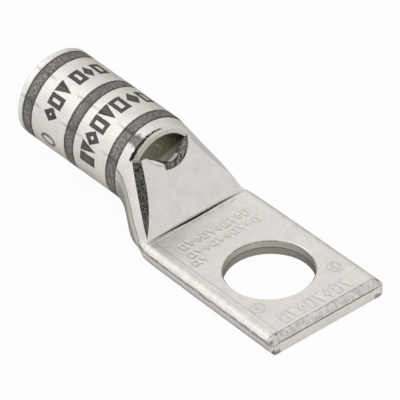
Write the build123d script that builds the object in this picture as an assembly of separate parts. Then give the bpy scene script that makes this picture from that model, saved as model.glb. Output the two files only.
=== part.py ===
"""One-hole compression lug for a 2/0 AWG conductor and a 1/2 inch stud.

The lug is one length of copper tube. One end stays round and takes the
conductor. The other end is pressed flat into the tongue, where the two walls of
the tube lie on each other. Between them the top wall is sheared free and pressed
down into a ramp, and a half-moon window at its head shows the conductor.

Millimetres. The origin is the centre of the stud hole on the seating face, the
wire enters from -X and the tongue points along +X.
"""

import os
from math import asin, cos, degrees, radians, sin, tan

from build123d import *

os.makedirs("parts", exist_ok=True)

# Tube
barrel_od = 14.35
wall = 1.43
barrel_lift = 0.485
mouth_x = -47.8
mouth_break = 0.25
bore_break = 0.4

# Tongue
tongue_t = 2.86
tongue_width_root = 20.44
tongue_width_neck = 20.85
neck_x = -13.0
tongue_width_tip = 21.5
tip_x = 12.75
corner_r = 0.6
tip_roll_r = 0.95
seam_z = 1.84
seam_depth = 0.6
seam_gap = 0.2
seam_end = 1.5

# Stud hole
stud_hole_d = 13.5
stud_hole_edge = 0.2

# Step from barrel to tongue, with its ramp, lip and window. step_slope is the step's
# run for each millimetre that its top drops, and lip_share the lip's place along it.
step_slope = 0.856
crease_x = -16.25
crease_depth = 0.5
crease_width = 0.15
crease_length = 18.0
crease_shoulder = 0.7
crease_shoulder_depth = 0.1
lip_share = 0.302
lip_roll_r = 0.45
ramp_angle = 48.9
window_r = 3.1
window_roll_r = 1.1
window_behind_lip = 0.8
window_y = 0.55
window_below = 4.0
window_above = 2.5

# Directions around the round tube where its side walls begin, from the vertical
floor_angle = 14
shoulder_angle = 51.8

barrel_r = barrel_od / 2
bore_r = barrel_r - wall
barrel_axis_z = barrel_lift + barrel_r
barrel_top_z = barrel_lift + barrel_od
fold_r = tongue_t / 2
round_end_x = crease_x - step_slope * (barrel_top_z - tongue_t)
ramp_rise = tan(radians(ramp_angle))


def ramp_z(x):
    """Height of the ramp's upper face at station x."""
    return tongue_t + ramp_rise * (crease_x - x)


def step_x(share):
    """Station at a share of the step, from 0 at the round tube to 1 at the crease."""
    return round_end_x + share * (crease_x - round_end_x)


def step_point(share, across, up, inset=0.0):
    """Point of a section of the step, from its proportions.

    A straight taper from the tube to the tongue would be 1 across and 1 up.
    """
    half = barrel_r + share * (tongue_width_root / 2 - barrel_r) - inset
    height = barrel_top_z + share * (tongue_t - barrel_top_z) - 2 * inset
    return (across * half, inset + up * height)


lip_x = step_x(lip_share)


def along(angle):
    """Unit vector in a cross-section, angle in degrees from +Y towards +Z."""
    return (cos(radians(angle)), sin(radians(angle)))


def round_section(x, radius, axis_z):
    """Circle at station x, split where the floor, side walls and crown meet."""

    def at(angle):
        return (radius * sin(radians(angle)), axis_z - radius * cos(radians(angle)))

    low = floor_angle
    high = 180 - shoulder_angle
    stops = [-low, 0, low, (low + 90) / 2, 90, (high + 90) / 2, high, 180]
    stops += [360 - high, (630 - high) / 2, 270, (630 - low) / 2, 360 - low]
    with BuildSketch(Plane.YZ.offset(x)) as sketch:
        with BuildLine():
            for i in range(0, 12, 2):
                ThreePointArc(at(stops[i]), at(stops[i + 1]), at(stops[i + 2]))
        make_face()
    return sketch.sketch


def pressed_section(share, floor, side, right, left, crown, inset=0.0):
    """Pressed tube at a share of the step: flat floor, bulged side walls and a crown.

    side is the widest point. right and left are the tops of the side walls, each
    with the slope of the wall there. crown lists the points between them.
    """

    def at(across, up):
        return step_point(share, across, up, inset)

    floor_right, floor_left = at(*floor), at(-floor[0], floor[1])
    side_right, side_left = at(*side), at(-side[0], side[1])
    top_right, slope_right = at(*right[:2]), 180 - right[2]
    top_left, slope_left = at(-left[0], left[1]), 180 + left[2]
    crown_points = [at(*point) for point in crown]
    with BuildSketch(Plane.YZ.offset(step_x(share))) as sketch:
        with BuildLine():
            Line(floor_left, floor_right)
            Spline(floor_right, side_right, tangents=[(1, 0), (0, 1)])
            Spline(side_right, top_right, tangents=[(0, 1), along(slope_right)])
            Spline(
                top_right, *crown_points, top_left, tangents=[along(slope_right), along(slope_left)]
            )
            Spline(top_left, side_left, tangents=[along(slope_left), (0, -1)])
            Spline(side_left, floor_left, tangents=[(0, -1), (1, 0)])
        make_face()
    return sketch.sketch


def tongue_section(x, width):
    """Flattened tube: two walls on each other with round folds at the sides."""
    half = width / 2
    flat = half - fold_r
    out = flat + fold_r * cos(radians(45))
    low = fold_r - fold_r * sin(radians(45))
    high = tongue_t - low
    with BuildSketch(Plane.YZ.offset(x)) as sketch:
        with BuildLine():
            Line((-flat, 0), (flat, 0))
            ThreePointArc((flat, 0), (out, low), (half, fold_r))
            ThreePointArc((half, fold_r), (out, high), (flat, tongue_t))
            Line((flat, tongue_t), (-flat, tongue_t))
            ThreePointArc((-flat, tongue_t), (-out, high), (-half, fold_r))
            ThreePointArc((-half, fold_r), (-out, low), (-flat, 0))
        make_face()
    return sketch.sketch


def tube(radius):
    """Round bar of the barrel's straight stretch."""
    disc = Plane.YZ.offset(mouth_x) * Pos(0, barrel_axis_z) * Circle(radius)
    return extrude(disc, round_end_x - mouth_x)


# Outside of the pressed step, from the round tube to the root of the tongue. Points
# are proportions of the step. The near ridge stands, the far one was pressed lower.
outside_stations = [
    dict(
        share=0.244, floor=(0.328, 0.034), side=(0.922, 0.579),
        right=(0.695, 0.961, 51), left=(0.712, 1.016, 52), crown=[(0.379, 1.15), (0, 1.234)],
    ),
    dict(
        share=0.488, floor=(0.693, 0.006), side=(0.976, 0.478),
        right=(0.762, 1.006, 55), left=(0.779, 1.123, 60), crown=[(0.346, 1.401), (0, 1.49)],
    ),
    dict(
        share=0.732, floor=(0.776, 0), side=(0.991, 0.412),
        right=(0.845, 1.004, 55), left=(0.851, 1.144, 62), crown=[(0.319, 1.614), (0, 1.713)],
    ),
]
step_outside = loft(
    [round_section(round_end_x, barrel_r, barrel_axis_z)]
    + [pressed_section(**station) for station in outside_stations]
    + [tongue_section(crease_x, tongue_width_root)]
)

barrel = tube(barrel_r)
barrel = chamfer(barrel.edges().group_by(Axis.X)[0], mouth_break)

# Tongue: a slab with a round fold along each side, widening from the crease to the tip
fold_line = Spline(
    (crease_x, tongue_width_root / 2 - fold_r),
    (neck_x, tongue_width_neck / 2 - fold_r),
    (tip_x, tongue_width_tip / 2 - fold_r),
    tangents=[(1, 0.16), (1, 0.012)],
)
other_fold_line = mirror(fold_line, Plane.XZ)
slab_outline = fold_line + other_fold_line
slab_outline += Line(fold_line @ 0, other_fold_line @ 0)
slab_outline += Line(fold_line @ 1, other_fold_line @ 1)
tongue = extrude(make_face(slab_outline), tongue_t)
fold_disc = Plane.YZ.offset(crease_x) * Pos(tongue_width_root / 2 - fold_r, fold_r) * Circle(fold_r)
fold = sweep(fold_disc, path=Pos(0, 0, fold_r) * fold_line)
tongue += [fold, mirror(fold, Plane.XZ)]

lug = barrel + step_outside + tongue

# The underside is pressed flat against the die
lug = split(lug, Plane.XY, keep=Keep.TOP)

# Trough between the two ridges: the ramp, the sheared inner faces of the ridges and the
# lip. ramp is the ramp's half width to the right and left, then come the ridge tops.
trough_stations = [
    dict(ramp=(0.587, 0.482), right=(0.692, 1.008), left=(0.694, 1.077)),
    dict(ramp=(0.681, 0.568), right=(0.778, 1.029), left=(0.795, 1.124)),
    dict(ramp=(0.809, 0.698), right=(0.866, 1.008), left=(0.866, 1.142)),
    dict(ramp=(0.9, 0.9), right=(0.969, 1.049), left=(0.969, 1.049)),
]


def trough_section(share, ramp, right, left):
    """Opening above the ramp at a share of the step: it widens through the ridge tops."""
    x = step_x(share)
    ramp_right = (step_point(share, ramp[0], 0)[0], ramp_z(x))
    ramp_left = (-step_point(share, ramp[1], 0)[0], ramp_z(x))
    ridge_right = step_point(share, *right)
    ridge_left = step_point(share, -left[0], left[1])
    out_right = (2 * ridge_right[0] - ramp_right[0], 2 * ridge_right[1] - ramp_z(x))
    out_left = (2 * ridge_left[0] - ramp_left[0], 2 * ridge_left[1] - ramp_z(x))
    top_z = 2 * barrel_top_z
    right_side = [ramp_right, out_right, (out_right[0], top_z)]
    left_side = [(out_left[0], top_z), out_left, ramp_left]
    return Plane.YZ.offset(x) * make_face(Polyline(*right_side, *left_side, close=True))


trough = []
for i, station in enumerate(trough_stations):
    station_share = lip_share + (1 - lip_share) * i / (len(trough_stations) - 1)
    trough.append(trough_section(station_share, **station))
lug -= loft(trough)
lip_edge = lug.edges().filter_by_position(Axis.X, lip_x - 0.01, lip_x + 0.01).sort_by(Axis.Z)[-1]
lug = fillet(lip_edge, lip_roll_r)

# Bore and the closing space under the ramp
inside_stations = [
    dict(
        share=0.317, floor=(0.536, 0.015), side=(0.961, 0.534),
        right=(0.663, 1.158, 52), left=(0.671, 1.195, 52), crown=[(0, 1.461)],
    ),
    dict(
        share=0.634, floor=(0.73, 0), side=(1.01, 0.45),
        right=(0.782, 1.18, 60), left=(0.808, 1.408, 66), crown=[(0, 1.728)],
    ),
    dict(
        share=0.946, floor=(0.858, 0), side=(1.032, 1.198),
        right=(0.951, 3.377, 45), left=(0.951, 3.377, 45), crown=[(0, 4.933)],
    ),
]
step_inside = loft(
    [round_section(round_end_x, bore_r, barrel_axis_z)]
    + [pressed_section(inset=wall, **station) for station in inside_stations]
)
panel_drop = wall / cos(radians(ramp_angle))
above_panel = Polyline(
    (lip_x, ramp_z(lip_x) - panel_drop),
    (crease_x + 1, ramp_z(crease_x + 1) - panel_drop),
    (crease_x + 1, 2 * barrel_top_z),
    (lip_x, 2 * barrel_top_z),
    close=True,
)
panel_space = extrude(Plane.XZ * make_face(above_panel), barrel_od, both=True)
lug -= (tube(bore_r) + step_inside) - panel_space
mouth_edge = lug.edges().group_by(Axis.X)[0].sort_by(SortBy.RADIUS)[0]
lug = chamfer(mouth_edge, bore_break)

# Inspection window through the head of the ramp, with its rolled rim
window_x = lip_x - window_behind_lip
window_plane = Plane(
    origin=(window_x, window_y, ramp_z(window_x)),
    x_dir=(0, 1, 0),
    z_dir=(sin(radians(ramp_angle)), 0, cos(radians(ramp_angle))),
)
bottom, top = -window_below, window_above
rim_r = window_r + window_roll_r
window_profile = (
    Polyline((0, bottom), (window_r, bottom), (window_r, -window_roll_r))
    + CenterArc((rim_r, -window_roll_r), window_roll_r, 180, -90)
    + Polyline((rim_r, 0), (rim_r, top), (0, top), (0, bottom))
)
window = window_plane * revolve(Plane.XZ * make_face(window_profile), Axis.Z)
lug -= split(window, Plane.YZ.offset(lip_x), keep=Keep.TOP)

# Stud hole through both walls
stud_hole_r = stud_hole_d / 2
lug -= Cylinder(stud_hole_r, tongue_t, align=(Align.CENTER, Align.CENTER, Align.MIN))
circles = lug.edges().filter_by(GeomType.CIRCLE)
lug = chamfer(circles.filter_by(lambda edge: abs(edge.radius - stud_hole_r) < 0.01), stud_hole_edge)

# Tip of the tongue: rounded corners, rolled upper wall and the seam between the walls
half_tip = tongue_width_tip / 2


def outside_corner(x, y, radius):
    """What a rounded outside corner leaves of the square around it, corner at (x, y)."""
    beyond_x, beyond_y = x + 1, y + 1
    start, end = (x, y - radius), (x - radius, y)
    return make_face(
        CenterArc((x - radius, y - radius), radius, 0, 90)
        + Polyline(start, (beyond_x, y - radius), (beyond_x, beyond_y), (x - radius, beyond_y), end)
    )


tip_corner = extrude(outside_corner(tip_x, half_tip, corner_r), tongue_t)
lug -= tip_corner
lug -= mirror(tip_corner, Plane.XZ)
tip_roll = Plane.XZ * outside_corner(tip_x, tongue_t, tip_roll_r)
lug -= extrude(tip_roll, tongue_width_tip, both=True)

seam = make_face(
    Polyline(
        (tip_x - seam_depth, seam_z),
        (tip_x + 1, seam_z - seam_gap / 2),
        (tip_x + 1, seam_z + seam_gap / 2),
        close=True,
    )
)
lug -= extrude(Plane.XZ * seam, half_tip - corner_r - seam_end, both=True)

# Crease at the foot of the ramp, deepest at its middle as if rolled by a large wheel
crease_bottom_z = tongue_t - crease_depth
wheel_r = crease_length**2 / 8 / crease_depth
wheel_axis = Axis((crease_x, 0, crease_bottom_z + wheel_r), (1, 0, 0))
half_turn = degrees(asin(crease_length / wheel_r))
wheel_rim = Plane.XZ * make_face(
    Polyline(
        (crease_x - crease_width / 3, crease_bottom_z),
        (crease_x - 2 * crease_width, tongue_t + crease_depth),
        (crease_x + crease_shoulder, tongue_t + crease_depth),
        (crease_x + crease_shoulder, tongue_t),
        (crease_x + crease_width, tongue_t - crease_shoulder_depth),
        close=True,
    )
)
for turn in (half_turn, -half_turn):
    lug -= revolve(wheel_rim, wheel_axis, turn)

export_step(lug, "parts/lug.step")
print(lug.volume, len(lug.solids()), lug.is_valid)
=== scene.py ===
import math

import bpy
from mathutils import Matrix, Vector
from mathutils.bvhtree import BVHTree


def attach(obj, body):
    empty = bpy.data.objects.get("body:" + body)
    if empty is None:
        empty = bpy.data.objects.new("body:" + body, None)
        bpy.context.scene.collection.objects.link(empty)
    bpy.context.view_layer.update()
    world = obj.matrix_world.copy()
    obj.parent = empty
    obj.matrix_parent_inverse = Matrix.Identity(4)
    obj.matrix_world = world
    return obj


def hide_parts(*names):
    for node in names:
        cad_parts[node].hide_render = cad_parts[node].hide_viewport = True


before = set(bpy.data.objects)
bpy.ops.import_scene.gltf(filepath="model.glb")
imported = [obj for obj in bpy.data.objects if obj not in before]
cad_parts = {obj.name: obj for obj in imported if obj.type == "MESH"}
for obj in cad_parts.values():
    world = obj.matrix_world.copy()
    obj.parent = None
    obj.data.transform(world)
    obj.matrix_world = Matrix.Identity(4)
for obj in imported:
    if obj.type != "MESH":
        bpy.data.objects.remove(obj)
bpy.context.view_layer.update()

MM = 0.001

# Tint of the metal's reflection at a grazing angle
EDGE_TINT = (0.48, 0.48, 0.43)

# Sizes of the lug in millimetres, as the part's source gives them or works them out
AXIS_Z = 7.66
BARREL_R = 7.175
BORE_R = 5.745
HOLE_R = 6.75
TONGUE_T = 2.86
CREASE_X = -16.25
LIP_X = -23.4
TIP_X = 12.75
MOUTH_X = -47.8
RAMP_ANGLE = math.radians(48.9)
WINDOW_R = 3.1
WINDOW_ROLL_R = 1.1
WINDOW_X = -24.2
WINDOW_Y = 0.55
SEAM_Z = 1.84
TONGUE_ROOT_WIDTH = 20.44
WINDOW_DOWN = (WINDOW_X - CREASE_X) / math.cos(RAMP_ANGLE)

# Radius past which a point lies on the barrel's outside
OUTSIDE_R = 6.6

# How far below the ramp's plane the walls of the window count as its rim
WINDOW_DEPTH = 2.2

# Line that the press leaves on the folded sides: it falls in a curve along the step and
# then runs level along the tongue
FOLD_LINE_X = -25.5
FOLD_LINE_Z = 9.7
FOLD_LINE_SLOPE = 0.35
FOLD_LINE_BEND = 0.077
FOLD_LINE_LOW_Z = 2.05

# How far from the middle the low bead beside each fold lies, and the fold's top
BEAD_Y = 8.3
FOLD_TOP_Y = 9.02

# Painted shade along the lower edge of the folds
UNDER_SHADE_X = -21.0
UNDER_SHADE_Y = 8.9
UNDER_SHADE_Z = 0.72

# Half lengths of the crease's painted shade along its bottom and of the broken line beside it
CREASE_HALF = 8.6
DASHES_HALF = 7.6

# Face of the lip from LIP_FACE_Z up, with a faint line along it between two radii
LIP_FACE_Z = 11.0
LIP_FAINT_R = (6.3, 6.42)

# Sunk line of painted shade on the lip's near half, with its half width at y -4.5 and in the
# middle, and the patch of painted dark reflection behind it
LIP_LINE_X = -23.77
LIP_LINE_HALF = (0.24, 0.11)
LIP_LINE_Z = 11.85
LIP_LINE_R = 6.4
DARK_REFLECTION_X = (-25.8, -23.75)
DARK_REFLECTION_Y = (-4.45, -2.85)

# Painted highlight on the window's rim, down the ramp and across it from the centre
SPOT_DOWN, SPOT_OUT, SPOT_R = 1.19, 3.11, 0.3

# Painted light on the bore's far wall, past FAR_WALL_Y: a lit stripe, its x at the height
# STRIPE_Z, how far it leans towards the tongue for each millimetre up, and from where to where
# past that x it reaches. A short lit streak lies beside it.
FAR_WALL_Y = 2.5
STRIPE_X, STRIPE_Z, STRIPE_LEAN = -29.55, 3.4, 0.68
STRIPE_SPAN = (0.1, 1.3)
STREAK_X = (-31.2, -29.7)
STREAK_Z = (4.65, 5.1)

# How far the roll at the tip reaches back, and the half length of the seam's dark line
TIP_ROLL = 1.05
SEAM_LINE_HALF = 9.35

# Ink on the barrel, as far as x INK_END_X: rings from and to x, and two rows of plain
# marks between them
INK_END_X = -25.0
RINGS = [(-46.6, -44.45), (-37.15, -35.05), (-27.85, -25.7)]
STROKE = 0.68
ROW_1_X, ROW_1_HALF = -40.85, 1.45
ROW_2_X, ROW_2_HALF = -31.85, 1.6
# Shape, whether it is an outline, degrees around the barrel from the top, half width
ROW_1 = [
    ("box", True, 24, 1.0),
    ("lozenge", False, 7, 0.75),
    ("box", True, -8, 0.95),
    ("triangle", False, -30, 1.0),
    ("box", True, -47, 0.95),
    ("lozenge", True, -64, 1.1),
]
ROW_2 = [
    ("box", True, 33, 1.0),
    ("lozenge", False, 14, 1.05),
    ("box", True, -6, 1.05),
    ("triangle", False, -23, 1.0),
    ("box", True, -40, 1.0),
    ("lozenge", True, -58, 1.15),
    ("triangle", False, -72, 0.85),
    ("box", False, -86, 0.8),
]
# Faint ring low on the near side: degrees around the barrel, half height, half width
FAINT_RING = (-100, 1.6, 1.1)
# Ticks along the tube, in degrees around the barrel
TICK_DEGREES = (-26.5, -64.5)

# Stamped marks on the tongue: row centre x, half height, from y, to y, pitch
STAMP_ROWS = [
    (-12.15, 0.74, -6.5, 6.6, 1.31),
    (-9.9, 0.66, -6.8, 6.7, 1.35),
    (-8.1, 0.6, -7.6, -4.6, 1.5),
    (9.9, 1.1, -6.3, 6.9, 1.65),
]
# Two round stamps, a ring around a cross: centre x and y
ROUND_STAMPS = [(5.95, 7.45), (5.7, -6.8)]
ROUND_STAMP_R = 1.2
CROSS_HALF, CROSS_BAR_HALF = 0.6, 0.15
STAMP_STROKE = 0.3
# How much of its pitch a stamped mark takes up
MARK_SHARE = 0.82

# Dark spots at the tip's corners: x, y, z and radius
TIP_DARK_SPOTS = [
    (11.85, -8.95, 2.85, 0.28),
    (12.4, -10.3, 2.35, 0.3),
    (12.2, 10.0, 2.6, 0.3),
    (12.7, -10.2, 0.8, 0.25),
]

# The round fold along each side of the tongue: its radius and its centre
FOLD_R = TONGUE_T / 2
FOLD_Y = TONGUE_ROOT_WIDTH / 2 - FOLD_R

# Root of each side fold: the step's side turns into the tongue's round fold from
# ROOT_START to ROOT_END, by the power ROOT_EASE of the way between them. Past ROOT_SIDE_X
# it starts from its section there. No point nearer to the middle than ROOT_INNER_Y moves.
ROOT_START = -19.5
ROOT_SIDE_X = -18.5
ROOT_END = CREASE_X
ROOT_EASE = 1.5
ROOT_INNER_Y = 7.8
# The section is read no lower than ROOT_LOW_Z. The turn is whole up to ROOT_WHOLE_Z and
# fades out from there to ROOT_TOP_Z.
ROOT_LOW_Z, ROOT_WHOLE_Z, ROOT_TOP_Z = 0.03, 2.2, 3.1
# A vertex is on the step's side where its normal points outward by more than SIDE_FACING,
# or, on the lower half of the tongue's height, down by more than UNDER_FACING
SIDE_FACING, UNDER_FACING = 0.25, 0.3

# Direction from the window's centre, down the ramp and across it, in which its rim is torn
RIM_DOWN, RIM_OUT = 0.56, 0.83

# How far the near side of the rim is pressed in towards the centre: not at all where the
# rim faces the tear by more than PRESS_END, in full where it does by less than PRESS_FULL
RIM_PRESS = 0.5
PRESS_END, PRESS_FULL = 0.45, -0.05
# Distance from the lip over which the pressing sets in
PRESS_LIP_FADE = 0.6

# Least product of two normals for faces of one smooth surface
SAME_SURFACE = 0.7

# Allowances for vertices that lie on a limit
ON_PLANE, ON_EDGE = 0.02, 0.05

# White floor and background: colour of the floor under light, and how much of it is plain
# white to the camera and in the metal
FLOOR_COLOUR = (0.80, 0.80, 0.79, 1.0)
FLOOR_WHITE_SEEN, FLOOR_WHITE_MIRRORED = 0.96, 0.35
FLOOR_HALF = 0.6
FLOOR_CENTRE = (-0.015, 0, -0.0001)

# Studio light all round: even on plain surfaces, and graded towards BRIGHT_SIDE in metal
EVEN_LIGHT = 0.92
GRADED_LIGHT = (0.87, 1.06)
BRIGHT_SIDE = (-0.75, -0.45, 0.5)

# Camera fitted to the photograph: degrees around the lug, above it and about the view,
# metres to the point that it looks at, and shift of the picture in pixels
CAMERA_ANGLES = (50.896, 38.664, -2.086)
CAMERA_DISTANCE = 1.7065
CAMERA_TARGET = (-0.015, 0, 0.0068)
CAMERA_SHIFT = (-0.655, -0.74)
PHOTO_WIDTH = 400
PIXELS_PER_MM = 6.935
SENSOR_WIDTH = 36


def clamped(value):
    """The value kept between 0 and 1."""
    return min(max(value, 0), 1)


class Graph:
    """Short names for the shader nodes of one material or world."""

    def __init__(self, tree):
        self.tree = tree
        tree.nodes.clear()

    def node(self, kind, **values):
        made = self.tree.nodes.new(kind)
        for name, value in values.items():
            setattr(made, name, value)
        return made

    def link(self, value, socket):
        if isinstance(value, bpy.types.NodeSocket):
            self.tree.links.new(value, socket)
        else:
            socket.default_value = value

    def math(self, operation, a, b=0.0):
        made = self.node("ShaderNodeMath", operation=operation)
        self.link(a, made.inputs[0])
        self.link(b, made.inputs[1])
        return made.outputs[0]

    def add(self, a, *others):
        for other in others:
            a = self.math("ADD", a, other)
        return a

    def sub(self, a, b):
        return self.math("SUBTRACT", a, b)

    def mul(self, a, b):
        return self.math("MULTIPLY", a, b)

    def size(self, a):
        return self.math("ABSOLUTE", a)

    def both(self, first, *others):
        """Where all of the masks are 1."""
        for other in others:
            first = self.mul(first, other)
        return first

    def either(self, first, *others):
        """Where any of the masks is 1, or the largest of several values."""
        for other in others:
            first = self.math("MAXIMUM", first, other)
        return first

    def nearest(self, first, *others):
        """The least of several distances."""
        for other in others:
            first = self.math("MINIMUM", first, other)
        return first

    def map(self, kind, value, low, high, out_low, out_high):
        made = self.node("ShaderNodeMapRange", interpolation_type=kind)
        self.link(value, made.inputs["Value"])
        made.inputs["From Min"].default_value = low
        made.inputs["From Max"].default_value = high
        made.inputs["To Min"].default_value = out_low
        made.inputs["To Max"].default_value = out_high
        return made.outputs["Result"]

    def ramp(self, value, low, high, out_low=0.0, out_high=1.0):
        """Smooth change from out_low to out_high while value goes from low to high."""
        return self.map("SMOOTHSTEP", value, low, high, out_low, out_high)

    def line(self, value, low, high, out_low=0.0, out_high=1.0):
        """The same along a straight line."""
        return self.map("LINEAR", value, low, high, out_low, out_high)

    def below(self, value, limit, soft=0.06):
        """1 where value is under limit, with an edge soft wide each way."""
        return self.ramp(value, limit - soft, limit + soft, 1.0, 0.0)

    def above(self, value, limit, soft=0.06):
        """1 where value is over limit, with an edge soft wide each way."""
        return self.ramp(value, limit - soft, limit + soft)

    def band(self, value, low, high, soft=0.06):
        """1 between low and high, with edges soft wide each way."""
        return self.mul(self.above(value, low, soft), self.below(value, high, soft))

    def length(self, *parts):
        total = self.mul(parts[0], parts[0])
        for part in parts[1:]:
            total = self.add(total, self.mul(part, part))
        return self.math("SQRT", total)

    def vector(self, x, y, z):
        made = self.node("ShaderNodeCombineXYZ")
        for value, socket in zip((x, y, z), made.inputs):
            self.link(value, socket)
        return made.outputs[0]

    def split(self, vector):
        made = self.node("ShaderNodeSeparateXYZ")
        self.link(vector, made.inputs[0])
        return made.outputs

    def noise(self, vector, scale, detail=3.0, rough=0.55, distortion=0.0):
        made = self.node("ShaderNodeTexNoise")
        self.link(vector, made.inputs["Vector"])
        made.inputs["Scale"].default_value = scale
        made.inputs["Detail"].default_value = detail
        made.inputs["Roughness"].default_value = rough
        made.inputs["Distortion"].default_value = distortion
        return made.outputs[0]

    def centred(self, noise, spread):
        """Noise about zero instead of about a half, scaled by spread."""
        return self.mul(self.sub(noise, 0.5), spread)

    def mix(self, factor, a, b):
        made = self.node("ShaderNodeMix", data_type="FLOAT")
        self.link(factor, made.inputs[0])
        self.link(a, made.inputs[2])
        self.link(b, made.inputs[3])
        return made.outputs[0]

    def colour(self, factor, a, b):
        made = self.node("ShaderNodeMix", data_type="RGBA")
        self.link(factor, made.inputs[0])
        for value, socket in ((a, made.inputs[6]), (b, made.inputs[7])):
            self.link(value if isinstance(value, bpy.types.NodeSocket) else (*value, 1.0), socket)
        return made.outputs[2]

    def finish(self, shader, kind="ShaderNodeOutputMaterial"):
        output = self.node(kind)
        self.link(shader.outputs[0], output.inputs["Surface"])


class Place:
    """Where a point of the lug lies, in millimetres, and which way it faces."""

    def __init__(self, g):
        coords = g.node("ShaderNodeTexCoord")
        scaled = g.node("ShaderNodeVectorMath", operation="SCALE")
        g.link(coords.outputs["Object"], scaled.inputs[0])
        scaled.inputs["Scale"].default_value = 1 / MM
        self.mm = scaled.outputs[0]
        self.x, self.y, self.z = g.split(self.mm)
        self.nx, self.ny, self.nz = g.split(coords.outputs["Normal"])
        self.side = g.size(self.y)
        up = g.sub(self.z, AXIS_Z)
        self.from_axis = g.length(self.y, up)
        self.arc = g.mul(g.math("ARCTAN2", self.y, up), BARREL_R)
        self.from_hole = g.length(self.x, self.y)

        # Height over the ramp's plane, and the distance down its slope from the crease
        from_crease = g.sub(self.x, CREASE_X)
        from_top = g.sub(self.z, TONGUE_T)
        cosine, sine = math.cos(RAMP_ANGLE), math.sin(RAMP_ANGLE)
        down_ramp = g.sub(g.mul(from_crease, cosine), g.mul(from_top, sine))
        self.off_ramp = g.add(g.mul(from_crease, sine), g.mul(from_top, cosine))

        # The same from the window's centre, down the ramp and across it
        self.down = g.sub(down_ramp, WINDOW_DOWN)
        self.out = g.sub(self.y, WINDOW_Y)
        self.from_window = g.length(self.down, self.out)


class Finish:
    """Colour, roughness, metal share and relief of a surface, laid on in turn."""

    def __init__(self, g, colour, rough):
        self.g = g
        self.colour = colour
        self.rough = rough
        self.metal = 1.0
        self.height = 0.0

    def lay(self, mask, colour, share=1.0, rough=None, metal=None):
        """Cover the mask, in part if share is under 1. What isn't given stays as it was."""
        mask = self.g.mul(mask, share)
        self.colour = self.g.colour(mask, self.colour, colour)
        if rough is not None:
            self.rough = self.g.mix(mask, self.rough, rough)
        if metal is not None:
            self.metal = self.g.mix(mask, self.metal, metal)

    def raise_by(self, mask, millimetres):
        """Lift the surface under the mask, or sink it by a number under zero."""
        self.height = self.g.add(self.height, self.g.mul(mask, millimetres))


def box(g, p, q, half_p, half_q):
    """Distance in millimetres to a box, less than 0 inside. p runs along its height."""
    return g.either(g.sub(g.size(p), half_p), g.sub(g.size(q), half_q))


def disc(g, p, q, half_p, half_q):
    """The same for a disc or an oval, true close to its edge."""
    reach = g.length(g.mul(p, 1 / half_p), g.mul(q, 1 / half_q))
    slope = g.length(g.mul(p, 1 / half_p**2), g.mul(q, 1 / half_q**2))
    return g.math("DIVIDE", g.mul(reach, g.sub(reach, 1.0)), g.add(slope, 0.001))


def lozenge(g, p, q, half_p, half_q):
    """The same for a lozenge."""
    slope = half_p / half_q
    reach = g.add(g.size(p), g.mul(g.size(q), slope))
    return g.mul(g.sub(reach, half_p), 1 / math.hypot(1, slope))


def triangle(g, p, q, half_p, half_q):
    """The same for a triangle that points along p."""
    slope = 2 * half_p / half_q
    sides = g.sub(g.add(p, g.mul(g.size(q), slope)), half_p)
    return g.either(g.mul(sides, 1 / math.hypot(1, slope)), g.sub(g.mul(p, -1.0), half_p))


SHAPES = {"box": box, "lozenge": lozenge, "triangle": triangle}


def outline(g, distance, stroke):
    """The stroke just inside the edge of a shape."""
    return g.sub(g.size(g.add(distance, stroke / 2)), stroke / 2)


def print_row(g, at, row, centre_x, half_height):
    """Distance to the nearest mark of one printed row."""
    marks = []
    along = g.sub(at.x, centre_x)
    for shape, hollow, degrees, half_width in row:
        around = g.sub(at.arc, math.radians(degrees) * BARREL_R)
        distance = SHAPES[shape](g, along, around, half_height, half_width)
        marks.append(outline(g, distance, STROKE) if hollow else distance)
    return g.nearest(*marks)


def stamp_row(g, at, centre_x, half_height, start, end, pitch):
    """Distance to a row of stamped squares, triangles and lozenges, one in each pitch."""
    along = g.sub(at.x, centre_x)
    cells = g.mul(g.sub(at.y, start), 1 / pitch)
    index = g.math("FLOOR", cells)
    across = g.mul(g.sub(g.sub(cells, index), 0.5), pitch)
    kind = g.math("FLOORED_MODULO", index, 3.0)
    half_width = MARK_SHARE / 2 * pitch
    square = outline(g, box(g, along, across, half_height, half_width), STAMP_STROKE)
    wedge = triangle(g, along, across, half_height, half_width)
    diamond = outline(g, lozenge(g, along, across, half_height, half_width), STAMP_STROKE)
    distance = g.mix(g.above(kind, 0.5), square, wedge)
    distance = g.mix(g.above(kind, 1.5), distance, diamond)
    beyond = g.either(g.sub(start, at.y), g.sub(at.y, end))
    return g.either(distance, beyond)


def lay_tin(g, at):
    """Bright tin: cloudy patches, fine specks and faint drawing lines along the tube."""
    cloud = g.noise(at.mm, scale=0.5, detail=4.0, rough=0.6)
    patch = g.noise(at.mm, scale=1.3, detail=3.0, rough=0.6, distortion=0.5)
    speck = g.noise(at.mm, scale=3.6, detail=3.0, rough=0.6)
    along, across = 0.12, 2.4
    stretched = g.vector(g.mul(at.x, along), g.mul(at.y, across), g.mul(at.z, across))
    lines = g.noise(stretched, scale=1.6, detail=3.0, rough=0.6)
    colour = g.colour(g.ramp(cloud, 0.38, 0.62), (0.92, 0.88, 0.845), (0.965, 0.94, 0.89))
    colour = g.colour(g.ramp(patch, 0.54, 0.70, out_high=0.55), colour, (0.82, 0.785, 0.745))
    colour = g.colour(g.ramp(speck, 0.58, 0.74, out_high=0.45), colour, (0.70, 0.67, 0.625))
    rough = g.add(g.line(cloud, 0.3, 0.7, 0.30, 0.40), g.line(speck, 0.3, 0.7, -0.04, 0.04))
    tin = Finish(g, colour, rough)
    tin.raise_by(speck, 0.010)
    tin.raise_by(lines, 0.010)
    tin.raise_by(patch, 0.012)
    return tin


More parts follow.
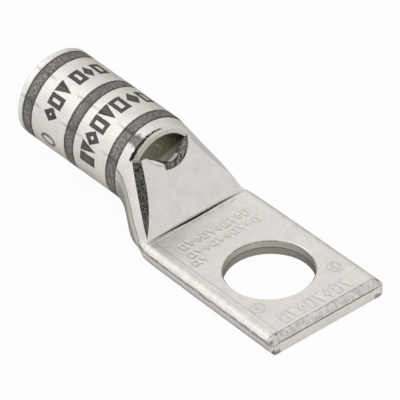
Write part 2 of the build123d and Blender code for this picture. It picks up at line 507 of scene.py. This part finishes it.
def lay_fold_line(g, at, tin):
    """Line that the press leaves along the folded sides, with painted shade below it."""
    run = g.sub(at.x, FOLD_LINE_X)
    fall = g.add(g.mul(run, FOLD_LINE_SLOPE), g.mul(g.mul(run, run), FOLD_LINE_BEND))
    line_z = g.either(g.sub(FOLD_LINE_Z, fall), FOLD_LINE_LOW_Z)
    wander = g.centred(g.noise(at.mm, scale=0.8, detail=2.0), 0.25)
    from_line = g.add(g.sub(at.z, line_z), wander)
    sideways = g.above(g.size(at.ny), 0.45, soft=0.1)
    pressed_side = g.both(g.above(at.x, FOLD_LINE_X - 0.1, soft=0.3), sideways)
    # Painted shade: the side below the line is darker, and darker still lower down
    shade_below_line = g.both(g.below(from_line, -0.1, soft=0.2), pressed_side)
    tin.lay(shade_below_line, (0.58, 0.565, 0.53), share=0.5)
    deeper_side_shade = g.both(g.below(from_line, -1.75, soft=0.25), pressed_side)
    tin.lay(deeper_side_shade, (0.34, 0.33, 0.31), share=0.5)
    fold_line = g.both(g.band(from_line, -0.14, 0.14, soft=0.09), pressed_side)
    tin.lay(fold_line, (0.18, 0.175, 0.15), share=0.85)


def lay_folds(g, at, tin):
    """Mottled folds of the tongue, the low bead beside each and painted shade on the lower edge.
    """
    past_crease = g.above(at.x, CREASE_X + 0.4, soft=0.4)
    on_tongue = g.both(past_crease, g.above(at.z, TONGUE_T - 0.5, soft=0.1))
    bead_y = g.add(BEAD_Y, g.centred(g.noise(at.mm, scale=0.7, detail=2.0), 0.3))
    from_bead = g.sub(at.side, bead_y)
    tin.raise_by(g.both(g.above(from_bead, 0.0, soft=0.16), on_tongue), 0.035)
    tin.raise_by(g.both(g.above(at.side, FOLD_TOP_Y, soft=0.12), on_tongue), -0.03)

    mottle = g.noise(at.mm, scale=1.1, detail=3.0, rough=0.6)
    on_fold = g.above(at.side, FOLD_TOP_Y + 0.03, soft=0.1)
    on_fold = g.both(on_fold, g.above(at.x, CREASE_X, soft=0.5))
    tin.raise_by(g.mul(on_fold, mottle), 0.07)
    worn = g.ramp(mottle, 0.45, 0.6, out_high=0.4)
    tin.lay(g.mul(on_fold, worn), (0.74, 0.72, 0.68), rough=0.42)

    # Edges of the bead and the fold, fainter on the far side
    near_edge = g.mul(on_tongue, g.ramp(at.y, -1.0, 1.0, 1.0, 0.25))
    bead_edge = g.both(g.band(from_bead, -0.1, 0.1, soft=0.08), near_edge)
    tin.lay(bead_edge, (0.66, 0.59, 0.54), share=0.5)
    fold_edge = g.band(at.side, FOLD_TOP_Y - 0.06, FOLD_TOP_Y + 0.04, soft=0.07)
    tin.lay(g.both(fold_edge, near_edge), (0.60, 0.58, 0.54), share=0.35)

    # Painted shade: the folds darken along their lower edge, next to the floor
    low = g.both(g.below(at.z, UNDER_SHADE_Z, soft=0.12), g.above(at.x, UNDER_SHADE_X, soft=1.0))
    low = g.both(low, g.above(at.side, UNDER_SHADE_Y, soft=0.1))
    tin.lay(low, (0.30, 0.29, 0.27), share=0.75)


def lay_mouth(g, at, tin):
    """Bright cut end of the tube, with a fine dark line of painted shade along its broken edge.
    """
    outside = g.above(at.from_axis, OUTSIDE_R, soft=0.1)
    rim = g.both(g.below(at.x, MOUTH_X + 0.75, soft=0.15), outside)
    tin.lay(rim, (0.985, 0.985, 0.98), share=0.8, rough=0.25)
    worn = g.ramp(g.noise(at.mm, scale=1.4), 0.4, 0.6)
    # Painted shade: a fine dark line stands for the shading of the chamfered edge
    edge = g.both(g.band(at.x, MOUTH_X + 0.12, MOUTH_X + 0.24, soft=0.08), outside)
    tin.lay(g.both(edge, worn), (0.36, 0.355, 0.35), share=0.6)


def ring_distance(g, at):
    """Distance along the tube to the nearest ring of ink."""
    rings = []
    for low, high in RINGS:
        from_middle = g.size(g.sub(at.x, (low + high) / 2))
        rings.append(g.sub(from_middle, (high - low) / 2))
    return g.nearest(*rings)


def lay_ink(g, at, tin):
    """Grey ink on the barrel: three rings, two rows of plain marks and faint ticks."""
    on_barrel = g.above(at.from_axis, OUTSIDE_R, soft=0.15)
    on_barrel = g.both(on_barrel, g.below(at.x, INK_END_X, soft=0.2))
    rings = ring_distance(g, at)
    row_1 = print_row(g, at, ROW_1, ROW_1_X, ROW_1_HALF)
    row_2 = print_row(g, at, ROW_2, ROW_2_X, ROW_2_HALF)
    jitter = g.centred(g.noise(at.mm, scale=2.2, detail=4.0, rough=0.65), 0.26)
    distance = g.add(g.nearest(rings, row_1, row_2), jitter)
    ink = g.mul(g.below(distance, 0.0), on_barrel)

    # Speckled inside, paler in clouds, darker in the marks and along every edge
    speckle = g.noise(at.mm, scale=2.3, detail=4.0, rough=0.8)
    cloud = g.noise(at.mm, scale=0.28, detail=2.0)
    pale = g.colour(g.ramp(cloud, 0.4, 0.6), (0.265, 0.254, 0.235), (0.35, 0.337, 0.315))
    middle = g.colour(g.ramp(speckle, 0.42, 0.58), (0.135, 0.13, 0.112), pale)
    in_marks = g.below(g.nearest(row_1, row_2), 0.1)
    middle = g.colour(g.mul(in_marks, 0.7), middle, (0.085, 0.082, 0.068))
    inside = g.ramp(distance, -0.5, -0.1, 1.0, 0.0)
    printed = g.colour(inside, (0.075, 0.072, 0.058), middle)
    tin.lay(ink, printed, share=0.96, rough=0.42, metal=0.85)
    tin.raise_by(g.mul(ink, speckle), 0.05)
    lay_faint_ring(g, at, tin, on_barrel)
    lay_ticks(g, at, tin, on_barrel, rings, ink)


def lay_faint_ring(g, at, tin, on_barrel):
    """Faint oval ring low on the near side of the barrel."""
    degrees, half_height, half_width = FAINT_RING
    around = g.sub(at.arc, math.radians(degrees) * BARREL_R)
    oval = disc(g, g.sub(at.x, ROW_1_X), around, half_height, half_width)
    faint = g.both(g.below(outline(g, oval, 0.5), 0.0, soft=0.08), on_barrel)
    tin.lay(faint, (0.15, 0.15, 0.10), share=0.85)


def lay_ticks(g, at, tin, on_barrel, rings, ink):
    """Faint ticks along the tube beside each ring, darker where they cross the ink."""
    wander = g.centred(g.noise(at.mm, scale=0.9), 0.5)
    near_ring = g.ramp(rings, 0.2, 2.2, 1.0, 0.0)
    near_ring = g.both(near_ring, on_barrel, g.below(at.x, RINGS[-1][0]))
    for degrees in TICK_DEGREES:
        around = g.sub(at.arc, math.radians(degrees) * BARREL_R)
        offset = g.size(g.add(around, wander))
        tick = g.both(g.below(offset, 0.14, soft=0.18), near_ring)
        tin.lay(tick, (0.36, 0.35, 0.32), share=0.6)
        tin.lay(g.both(g.below(offset, 0.2, soft=0.25), ink), (0.07, 0.067, 0.056), share=0.7)


def sheared_grit(g, at):
    """Fine noise of sheared metal."""
    return g.noise(at.mm, scale=3.4, detail=4.0, rough=0.75)


def torn_waves(g, at):
    """Coarse noise along torn edges."""
    return g.noise(at.mm, scale=1.3, detail=3.0, rough=0.6)


def lay_ridges(g, at, tin):
    """Sheared inner faces of the two ridges, the near one rough and dark with painted shade."""
    grit = sheared_grit(g, at)
    over_ramp = g.above(at.off_ramp, 0.04, soft=0.02)
    in_trough = g.both(over_ramp, g.band(at.x, LIP_X, CREASE_X - 0.1, soft=0.05))
    near = g.both(in_trough, g.above(at.ny, 0.12, soft=0.03), g.below(at.y, 0.0, soft=0.2))
    far = g.both(in_trough, g.below(at.ny, -0.12, soft=0.03), g.above(at.y, 0.0, soft=0.2))
    # Painted shade: the near face's dark colour stands partly for rough sheared grit and partly
    # for shade in the trough
    sheared = g.colour(g.ramp(grit, 0.42, 0.62), (0.035, 0.034, 0.030), (0.34, 0.33, 0.30))
    tin.lay(near, sheared, rough=0.6)
    tin.raise_by(g.mul(near, grit), 0.16)
    # Painted shade: the far face is darkened too
    tin.lay(far, (0.50, 0.48, 0.46), share=0.5)


def lay_crease(g, at, tin):
    """Painted shade in the crease, painted highlight on its shoulder, a faint broken line beside.
    """
    across = g.sub(at.x, CREASE_X)
    sunk = g.below(at.z, TONGUE_T - 0.06, soft=0.05)
    # Painted shade: near black along the bottom of the crease
    crease_shade = g.both(g.band(across, -0.4, 0.16, soft=0.04), sunk)
    crease_shade = g.both(crease_shade, g.below(at.side, CREASE_HALF, soft=0.5))
    tin.lay(crease_shade, (0.05, 0.048, 0.044), rough=0.6)
    broken = g.ramp(g.noise(at.mm, scale=1.1, detail=2.0), 0.44, 0.56)
    dashes = g.both(g.band(across, 0.68, 0.82), broken, g.above(at.nz, 0.8))
    dashes = g.both(dashes, g.below(at.side, DASHES_HALF, soft=0.6))
    tin.lay(dashes, (0.26, 0.245, 0.225), share=0.75)
    # Painted highlight: a bright colour on the raised shoulder beside the crease
    shoulder = g.both(g.band(across, 0.2, 0.62, soft=0.1), g.above(at.nz, 0.5, soft=0.2))
    tin.raise_by(shoulder, 0.03)
    tin.lay(shoulder, (0.99, 0.97, 0.93), share=0.7, rough=0.25)


def lay_lip(g, at, tin):
    """Lip face, sunk line of painted shade on its near half, painted dark reflection behind it.
    """
    waves = torn_waves(g, at)
    ragged = g.centred(waves, 0.4)
    face = g.band(at.x, LIP_X - 0.25, LIP_X + 0.2, soft=0.08)
    face = g.both(face, g.above(at.z, LIP_FACE_Z, soft=0.3))
    tin.lay(face, (0.80, 0.79, 0.70), share=0.6)
    faint = g.both(face, g.band(g.add(at.from_axis, ragged), *LIP_FAINT_R))
    tin.lay(faint, (0.50, 0.49, 0.42), share=0.5)

    # Painted shade: a near-black line sunk into the crease along the lip
    lean = g.line(at.y, -6.0, 0.5, -0.08, -0.02)
    from_middle = g.size(g.sub(g.add(at.x, ragged, lean), LIP_LINE_X))
    from_line = g.sub(from_middle, g.line(at.y, -4.5, 0.0, *LIP_LINE_HALF))
    near_half = g.both(g.below(at.y, 0.5, soft=0.25), g.above(at.z, LIP_LINE_Z, soft=0.12))
    torn = g.both(g.below(from_line, 0.0, soft=0.08), near_half)
    torn = g.both(torn, g.above(at.from_axis, LIP_LINE_R, soft=0.1))
    gaps = g.either(g.below(at.y, -2.6, soft=0.3), g.ramp(waves, 0.40, 0.5, 0.25, 1.0))
    tin.lay(g.mul(torn, gaps), (0.025, 0.024, 0.020), rough=0.6, metal=0.7)
    tin.raise_by(torn, -0.08)

    # Painted reflection: a dark patch on the barrel behind the lip
    patch = g.band(g.add(at.y, g.centred(waves, 1.2)), *DARK_REFLECTION_Y, soft=0.3)
    patch = g.both(patch, g.band(at.x, *DARK_REFLECTION_X, soft=0.2), g.above(at.z, AXIS_Z, soft=0.5))
    patch = g.both(patch, g.ramp(sheared_grit(g, at), 0.3, 0.65, 0.6, 0.95))
    tin.lay(patch, (0.125, 0.12, 0.105), rough=0.5)


def lay_window(g, at, tin):
    """Rim of the window: torn roll on its far side, pressed bevel on its near side."""
    waves = torn_waves(g, at)
    near_ramp = g.band(at.off_ramp, -WINDOW_DEPTH, 0.1, soft=0.05)
    near_ramp = g.both(near_ramp, g.above(at.x, LIP_X - 0.1))
    toward_tear = g.add(g.mul(at.down, RIM_DOWN), g.mul(at.out, RIM_OUT))
    facing = g.add(g.math("DIVIDE", toward_tear, at.from_window), g.centred(waves, 0.12))
    lay_torn_roll(g, at, tin, near_ramp, facing)
    lay_inner_edge(g, at, tin, near_ramp, facing)
    lay_bevel(g, at, tin, near_ramp, facing)


def lay_torn_roll(g, at, tin, near_ramp, facing):
    """Far side of the rim: blotched and uneven, with a dark outer edge and a dark start."""
    blotch = g.noise(at.mm, scale=1.9, detail=4.0, rough=0.7, distortion=0.6)
    outer_r = WINDOW_R + WINDOW_ROLL_R
    far_rim = g.both(g.band(at.from_window, WINDOW_R - 0.2, outer_r + 0.15), near_ramp)
    far_rim = g.both(far_rim, g.above(facing, 0.24))
    torn = g.colour(g.ramp(blotch, 0.42, 0.57), (0.08, 0.078, 0.066), (0.42, 0.41, 0.37))
    tin.lay(far_rim, torn, share=0.95, rough=0.5)
    edge_line = g.both(g.above(at.from_window, outer_r - 0.2, soft=0.1), far_rim)
    edge_line = g.mul(edge_line, g.ramp(blotch, 0.38, 0.6, 1.0, 0.35))
    start = g.both(far_rim, g.below(facing, 0.36))
    tin.lay(g.either(edge_line, start), (0.035, 0.034, 0.028), share=0.75)
    tin.raise_by(g.mul(far_rim, torn_waves(g, at)), 0.3)


def lay_inner_edge(g, at, tin, near_ramp, facing):
    """Window wall in painted shade, painted highlight along its arc and at the rim's far end."""
    # Painted shade: the window's wall is darkened as inside a hole
    wall = g.both(g.below(at.from_window, WINDOW_R + 0.12, soft=0.05), near_ramp)
    wall = g.both(wall, g.above(facing, 0.3, soft=0.2))
    tin.lay(wall, (0.38, 0.37, 0.32), share=0.85, rough=0.4)
    # Painted highlight: a bright arc on the wall
    arc = g.both(g.below(at.from_window, WINDOW_R + 0.28, soft=0.05), near_ramp)
    arc = g.both(arc, g.above(at.down, 1.5), g.band(at.out, -0.2, 1.7, soft=0.15))
    arc = g.both(arc, g.above(at.off_ramp, -1.2, soft=0.1))
    tin.lay(arc, (1.0, 1.0, 0.98), rough=0.4, metal=0.0)
    # Painted highlight: a small bright spot on the rim
    from_spot = g.length(g.sub(at.down, SPOT_DOWN), g.sub(at.out, SPOT_OUT))
    spot = g.both(g.below(from_spot, SPOT_R, soft=0.12), near_ramp)
    tin.lay(spot, (0.95, 0.95, 0.93), rough=0.4, metal=0.1)


def lay_bevel(g, at, tin, near_ramp, facing):
    """Pressed bevel along the near side of the window in painted highlight, and its thin shadow.
    """
    near_side = g.both(near_ramp, g.below(facing, 0.2, soft=0.03))
    near_side = g.both(near_side, g.above(at.off_ramp, -0.2, soft=0.1))
    near_side = g.both(near_side, g.above(at.out, -3.6, soft=0.2))
    bevel = g.band(at.from_window, WINDOW_R - RIM_PRESS - 0.1, WINDOW_R + 0.6, soft=0.12)
    bevel = g.both(bevel, near_side)
    # Painted highlight: the bevel is coloured near white, on top of its raised relief
    tin.lay(bevel, (1.0, 0.99, 0.96), share=0.9, rough=0.25)
    tin.raise_by(bevel, 0.2)
    shade = g.band(at.from_window, WINDOW_R + 0.68, WINDOW_R + 0.88, soft=0.1)
    tin.lay(g.both(shade, near_side), (0.52, 0.51, 0.48), share=0.5)


def lay_tip(g, at, tin):
    """Rolled end of the tongue: mottled roll, open seam and dark spots at the corners."""
    grit = g.noise(at.mm, scale=1.2, detail=4.0, rough=0.7)
    roll_x = TIP_X - TIP_ROLL
    roll = g.both(g.above(at.x, roll_x, soft=0.1), g.above(at.z, SEAM_Z, soft=0.1))
    tin.lay(g.mul(roll, g.ramp(grit, 0.40, 0.60, out_high=0.7)), (0.56, 0.54, 0.50))
    tin.raise_by(g.mul(roll, grit), 0.16)
    start = g.band(g.add(at.x, g.centred(grit, 0.35)), roll_x - 0.05, roll_x + 0.07, soft=0.05)
    start = g.both(start, g.above(at.z, TONGUE_T - 0.3), g.ramp(grit, 0.4, 0.6, 0.15, 0.6))
    tin.lay(start, (0.42, 0.38, 0.34))

    wander = g.centred(g.noise(at.mm, scale=0.9, detail=3.0, rough=0.6), 0.35)
    from_seam = g.size(g.add(g.sub(at.z, SEAM_Z), wander))
    seam = g.both(g.below(from_seam, 0.1, soft=0.1), g.above(at.x, TIP_X - 0.55))
    seam = g.both(seam, g.below(at.side, SEAM_LINE_HALF, soft=0.3))
    seam = g.both(seam, g.ramp(grit, 0.35, 0.65, 0.9, 0.45))
    tin.lay(seam, (0.07, 0.067, 0.06), rough=0.6)
    for x, y, z, radius in TIP_DARK_SPOTS:
        away = g.length(g.sub(at.x, x), g.sub(at.y, y), g.sub(at.z, z))
        tin.lay(g.below(away, radius, soft=0.15), (0.12, 0.115, 0.10), share=0.7)


def lay_stud_hole(g, at, tin):
    """Stud hole wall, where the tongue's two layers show, in painted shade; painted highlight on
    rim.
    """
    joint_z = TONGUE_T / 2
    inside = g.below(at.from_hole, HOLE_R + 0.05, soft=0.03)
    # Painted shade: the wall's dark colours stand for the hole's shade, darker towards the tip
    # and in the lower layer
    wall = g.both(inside, g.band(at.z, 0.15, TONGUE_T - 0.15, soft=0.05))
    toward_tip = g.line(at.x, -6.0, 5.5)
    upper_layer_shade = g.colour(toward_tip, (0.58, 0.56, 0.49), (0.36, 0.35, 0.31))
    tin.lay(wall, upper_layer_shade, share=0.9, rough=0.42)
    lower_layer_shade = g.colour(toward_tip, (0.36, 0.345, 0.295), (0.20, 0.192, 0.165))
    tin.lay(g.both(wall, g.below(at.z, joint_z, soft=0.04)), lower_layer_shade, share=0.8)
    # Painted highlight: a near-white band on the rim
    rim = g.band(at.from_hole, HOLE_R + 0.02, HOLE_R + 0.3)
    rim = g.both(rim, g.above(at.z, TONGUE_T - 0.3, soft=0.05))
    tin.lay(rim, (0.99, 0.975, 0.95), share=0.6, rough=0.25)
    broken = g.ramp(g.noise(at.mm, scale=0.8, detail=3.0, rough=0.6), 0.42, 0.55)
    under_rim = g.both(wall, g.band(at.z, TONGUE_T - 0.42, TONGUE_T - 0.24, soft=0.05), broken)
    tin.lay(under_rim, (0.16, 0.155, 0.13), share=0.6)
    joint = g.both(wall, g.band(at.z, joint_z - 0.08, joint_z + 0.1, soft=0.04))
    tin.lay(joint, (0.10, 0.098, 0.08), share=0.7)


def lay_bore(g, at, tin):
    """Inside of the tube in painted shade and smeared, with the light that falls in on its far
    wall.
    """
    bore = g.both(g.below(at.from_axis, BORE_R + 0.12), g.below(at.x, LIP_X - 0.1))
    # Painted shade: the inside of the tube is darkened
    tin.lay(bore, (0.45, 0.44, 0.36), share=0.9)
    stretched = g.vector(g.mul(at.x, 1.6), g.mul(at.arc, 0.5), 0.0)
    smear = g.noise(stretched, scale=1.0, detail=3.0, rough=0.65)
    smear = g.both(bore, g.ramp(smear, 0.45, 0.65, out_high=0.4))
    tin.lay(smear, (0.76, 0.75, 0.68), rough=0.5)
    stripe_x = g.add(STRIPE_X, g.mul(g.sub(at.z, STRIPE_Z), STRIPE_LEAN))
    stripe = g.both(bore, g.band(g.sub(at.x, stripe_x), *STRIPE_SPAN, soft=0.15))
    stripe = g.both(stripe, g.above(at.y, FAR_WALL_Y, soft=0.5))
    tin.lay(stripe, (1.0, 0.99, 0.93), share=0.9, rough=0.3)
    # Painted light: a short lit streak beside the stripe
    streak = g.both(bore, g.band(at.z, *STREAK_Z, soft=0.1), g.band(at.x, *STREAK_X, soft=0.2))
    tin.lay(g.both(streak, g.above(at.y, FAR_WALL_Y)), (0.90, 0.89, 0.80), share=0.6)


def lay_stamps(g, at, tin):
    """Shallow stamped marks on the tongue, plain shapes only."""
    marks = [stamp_row(g, at, *row) for row in STAMP_ROWS]
    for x, y in ROUND_STAMPS:
        p, q = g.sub(at.x, x), g.sub(at.y, y)
        marks.append(outline(g, disc(g, p, q, ROUND_STAMP_R, ROUND_STAMP_R), STAMP_STROKE))
        marks.append(box(g, p, q, CROSS_HALF, CROSS_BAR_HALF))
        marks.append(box(g, p, q, CROSS_BAR_HALF, CROSS_HALF))
    jitter = g.centred(g.noise(at.mm, scale=2.5, detail=2.0), 0.25)
    distance = g.add(g.nearest(*marks), jitter)
    worn = g.ramp(g.noise(at.mm, scale=0.5, detail=2.0), 0.35, 0.6, 0.65, 1.0)
    on_top = g.both(g.above(at.nz, 0.8, soft=0.1), g.band(at.z, TONGUE_T - 0.1, TONGUE_T + 0.1))
    on_top = g.both(on_top, worn)
    tin.raise_by(g.both(g.ramp(distance, -0.22, 0.2, 1.0, 0.0), on_top), -0.09)
    edge = g.both(g.band(distance, -0.02, 0.16, soft=0.12), on_top)
    tin.lay(edge, (0.66, 0.615, 0.575), share=0.5)
    floor = g.both(g.below(distance, -0.12, soft=0.1), on_top)
    tin.lay(floor, (0.98, 0.965, 0.93), share=0.6, rough=0.25)


def tinned_copper():
    """Lug's one material: tin, with what the press, ink and use left on it, and painted light and
    shade.
    """
    material = bpy.data.materials.new("tinned_copper")
    material.use_nodes = True
    g = Graph(material.node_tree)
    at = Place(g)
    tin = lay_tin(g, at)
    for lay in (
        lay_fold_line, lay_folds, lay_mouth, lay_ink, lay_ridges, lay_crease, lay_lip,
        lay_window, lay_tip, lay_stud_hole, lay_bore, lay_stamps,
    ):
        lay(g, at, tin)
    bump = g.node("ShaderNodeBump")
    bump.inputs["Distance"].default_value = MM
    bump.inputs["Strength"].default_value = 1.0
    g.link(tin.height, bump.inputs["Height"])
    shader = g.node("ShaderNodeBsdfPrincipled")
    g.link(tin.colour, shader.inputs["Base Color"])
    g.link(tin.metal, shader.inputs["Metallic"])
    g.link(tin.rough, shader.inputs["Roughness"])
    g.link(bump.outputs[0], shader.inputs["Normal"])
    shader.inputs["Specular Tint"].default_value = (*EDGE_TINT, 1.0)
    g.finish(shader)
    return material


def seen_in_metal(g, path):
    """1 for a ray that reaches the background or the floor by way of metal or glass."""
    return g.either(path["Is Glossy Ray"], path["Is Transmission Ray"])


def floor_material():
    """Pale floor that meets the white background and keeps a faint shadow."""
    material = bpy.data.materials.new("floor")
    material.use_nodes = True
    g = Graph(material.node_tree)
    path = g.node("ShaderNodeLightPath").outputs
    to_camera = g.mul(path["Is Camera Ray"], FLOOR_WHITE_SEEN)
    in_metal = g.mul(seen_in_metal(g, path), FLOOR_WHITE_MIRRORED)
    diffuse = g.node("ShaderNodeBsdfDiffuse")
    diffuse.inputs["Color"].default_value = FLOOR_COLOUR
    white = g.node("ShaderNodeEmission")
    white.inputs["Strength"].default_value = 1.0
    mixed = g.node("ShaderNodeMixShader")
    g.link(g.either(to_camera, in_metal), mixed.inputs[0])
    g.link(diffuse.outputs[0], mixed.inputs[1])
    g.link(white.outputs[0], mixed.inputs[2])
    g.finish(mixed)
    return material


def build_world():
    """Soft studio light: pale all round, and in the metal brighter to the upper left."""
    world = bpy.data.worlds.new("studio")
    world.use_nodes = True
    bpy.context.scene.world = world
    g = Graph(world.node_tree)
    direction = g.node("ShaderNodeTexCoord").outputs["Generated"]
    toward = g.node("ShaderNodeVectorMath", operation="DOT_PRODUCT")
    g.link(direction, toward.inputs[0])
    toward.inputs[1].default_value = Vector(BRIGHT_SIDE).normalized()
    graded = g.ramp(toward.outputs["Value"], 0.1, 0.9, *GRADED_LIGHT)
    path = g.node("ShaderNodeLightPath").outputs
    unseen = g.mix(seen_in_metal(g, path), EVEN_LIGHT, graded)
    background = g.node("ShaderNodeBackground")
    g.link(g.mix(path["Is Camera Ray"], unseen, 1.0), background.inputs["Strength"])
    g.finish(background, "ShaderNodeOutputWorld")


def build_floor():
    """Square floor just under the lug."""
    half = FLOOR_HALF
    centre = Vector(FLOOR_CENTRE)
    corners = [(-half, -half, 0), (half, -half, 0), (half, half, 0), (-half, half, 0)]
    mesh = bpy.data.meshes.new("floor")
    mesh.from_pydata([Vector(corner) + centre for corner in corners], [], [(0, 1, 2, 3)])
    floor = bpy.data.objects.new("floor", mesh)
    floor.data.materials.append(floor_material())
    bpy.context.scene.collection.objects.link(floor)


def build_light(name, place, target, size, power):
    """Square lamp, size metres wide, that shines from its place towards the target."""
    lamp = bpy.data.lights.new(name, "AREA")
    lamp.size = size
    lamp.energy = power
    light = bpy.data.objects.new(name, lamp)
    light.location = place
    light.rotation_euler = (Vector(target) - Vector(place)).to_track_quat("-Z", "Y").to_euler()
    bpy.context.scene.collection.objects.link(light)


def build_camera():
    """Long lens far away, at the angles and framing fitted to the photograph."""
    azimuth, elevation, roll = (math.radians(angle) for angle in CAMERA_ANGLES)
    back = Vector((
        math.sin(azimuth) * math.cos(elevation),
        -math.cos(azimuth) * math.cos(elevation),
        math.sin(elevation),
    ))
    level = Vector((math.cos(azimuth), math.sin(azimuth), 0))
    right = level * math.cos(roll) + back.cross(level) * math.sin(roll)
    upward = back.cross(right)
    data = bpy.data.cameras.new("camera")
    data.sensor_width = SENSOR_WIDTH
    data.lens = PIXELS_PER_MM / MM * CAMERA_DISTANCE / PHOTO_WIDTH * SENSOR_WIDTH
    data.shift_x, data.shift_y = (pixels / PHOTO_WIDTH for pixels in CAMERA_SHIFT)
    data.clip_start = 0.1
    data.clip_end = 20
    camera = bpy.data.objects.new("camera", data)
    rotation = Matrix((right, upward, back)).transposed().to_4x4()
    place = Vector(CAMERA_TARGET) + back * CAMERA_DISTANCE
    camera.matrix_world = Matrix.Translation(place) @ rotation
    bpy.context.scene.collection.objects.link(camera)
    bpy.context.scene.camera = camera


def side_y(tree, y, z):
    """Distance from the middle of the step's side at ROOT_SIDE_X, at height z."""
    outside = Vector((ROOT_SIDE_X, math.copysign(2 * FOLD_Y, y), max(z, ROOT_LOW_Z)))
    hit = tree.ray_cast(outside * MM, Vector((0, -math.copysign(1, y), 0)))[0]
    return abs(hit.y) / MM


def root_y(tree, x, y, z):
    """Distance from the middle that a point of the step's side gets at its root."""
    turned = ((x - ROOT_START) / (ROOT_END - ROOT_START)) ** ROOT_EASE
    fold_y = FOLD_Y + math.sqrt(max(FOLD_R**2 - (z - FOLD_R) ** 2, 0))
    side = side_y(tree, y, z) if x > ROOT_SIDE_X else abs(y)
    reach = clamped((ROOT_TOP_Z - z) / (ROOT_TOP_Z - ROOT_WHOLE_Z))
    return abs(y) + (side + turned * (fold_y - side) - abs(y)) * reach


def root_moves(mesh, places):
    """New y, in metres, of each place at the roots of the side folds."""
    faces = [tuple(face.vertices) for face in mesh.polygons]
    tree = BVHTree.FromPolygons([vertex.co for vertex in mesh.vertices], faces)
    moves = {}
    for vertex, (x, y, z) in zip(mesh.vertices, places):
        outward = vertex.normal.y * math.copysign(1, y) > SIDE_FACING
        under = vertex.normal.z < -UNDER_FACING and 0 < z < FOLD_R
        at_root = ROOT_START < x < ROOT_END + ON_EDGE and abs(y) > ROOT_INNER_Y
        if at_root and (outward or under):
            moves[x, y, z] = math.copysign(root_y(tree, min(x, ROOT_END), y, z) * MM, y)
    return moves


def smooth_normals(mesh, places, moves, normals):
    """Give the corners at moved places the mean normal of the faces they run into."""
    faces_at = {place: [] for place in moves}
    for face in mesh.polygons:
        for index in face.vertices:
            if places[index] in moves:
                faces_at[places[index]].append((face.normal.copy(), face.area))
    for face in mesh.polygons:
        for corner in face.loop_indices:
            place = places[mesh.loops[corner].vertex_index]
            if place in moves:
                mean = Vector((0, 0, 0))
                for normal, area in faces_at[place]:
                    if normal.dot(face.normal) > SAME_SURFACE:
                        mean += normal * area
                normals[corner] = mean.normalized()


def run_folds_on(mesh):
    """Turn the step's sides smoothly into the tongue's folds, with normals to match."""
    normals = [corner.vector.copy() for corner in mesh.corner_normals]
    places = [tuple(round(c / MM, 3) for c in vertex.co) for vertex in mesh.vertices]
    moves = root_moves(mesh, places)
    for vertex, place in zip(mesh.vertices, places):
        vertex.co.y = moves.get(place, vertex.co.y)
    mesh.update()
    smooth_normals(mesh, places, moves, normals)
    mesh.normals_split_custom_set(normals)


def press_rim(mesh):
    """Press the near side of the window's rim towards its centre, along the ramp."""
    cosine, sine = math.cos(RAMP_ANGLE), math.sin(RAMP_ANGLE)
    inner_r = WINDOW_R - ON_EDGE
    outer_r = WINDOW_R + WINDOW_ROLL_R + ON_EDGE
    for vertex in mesh.vertices:
        x, y, z = vertex.co / MM
        from_crease, from_top = x - CREASE_X, z - TONGUE_T
        off_ramp = from_crease * sine + from_top * cosine
        down = from_crease * cosine - from_top * sine - WINDOW_DOWN
        out = y - WINDOW_Y
        from_centre = math.hypot(down, out)
        by_ramp = -WINDOW_DEPTH < off_ramp < ON_PLANE and x > LIP_X + ON_PLANE
        if by_ramp and inner_r < from_centre < outer_r:
            facing = (down * RIM_DOWN + out * RIM_OUT) / from_centre
            share = clamped((PRESS_END - facing) / (PRESS_END - PRESS_FULL))
            from_lip = clamped((x - LIP_X) / PRESS_LIP_FADE)
            press = RIM_PRESS * share * from_lip / from_centre
            vertex.co.y -= out * press * MM
            vertex.co.x -= down * press * cosine * MM
            vertex.co.z += down * press * sine * MM
    mesh.update()


def build_lug(node):
    """The lug, with its side folds run on and the near side of its window pressed in."""
    mesh = node.data.copy()
    run_folds_on(mesh)
    press_rim(mesh)
    mesh.materials.clear()
    mesh.materials.append(tinned_copper())
    piece = bpy.data.objects.new("pressed_lug", mesh)
    bpy.context.scene.collection.objects.link(piece)
    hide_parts("lug")
    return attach(piece, "root")


build_lug(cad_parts["lug"])

build_world()
build_floor()
build_light("key", place=(-0.49, -0.26, 0.57), target=(-0.015, 0, 0), size=0.6, power=0.25)
build_camera()
bpy.context.scene.view_settings.view_transform = "Standard"
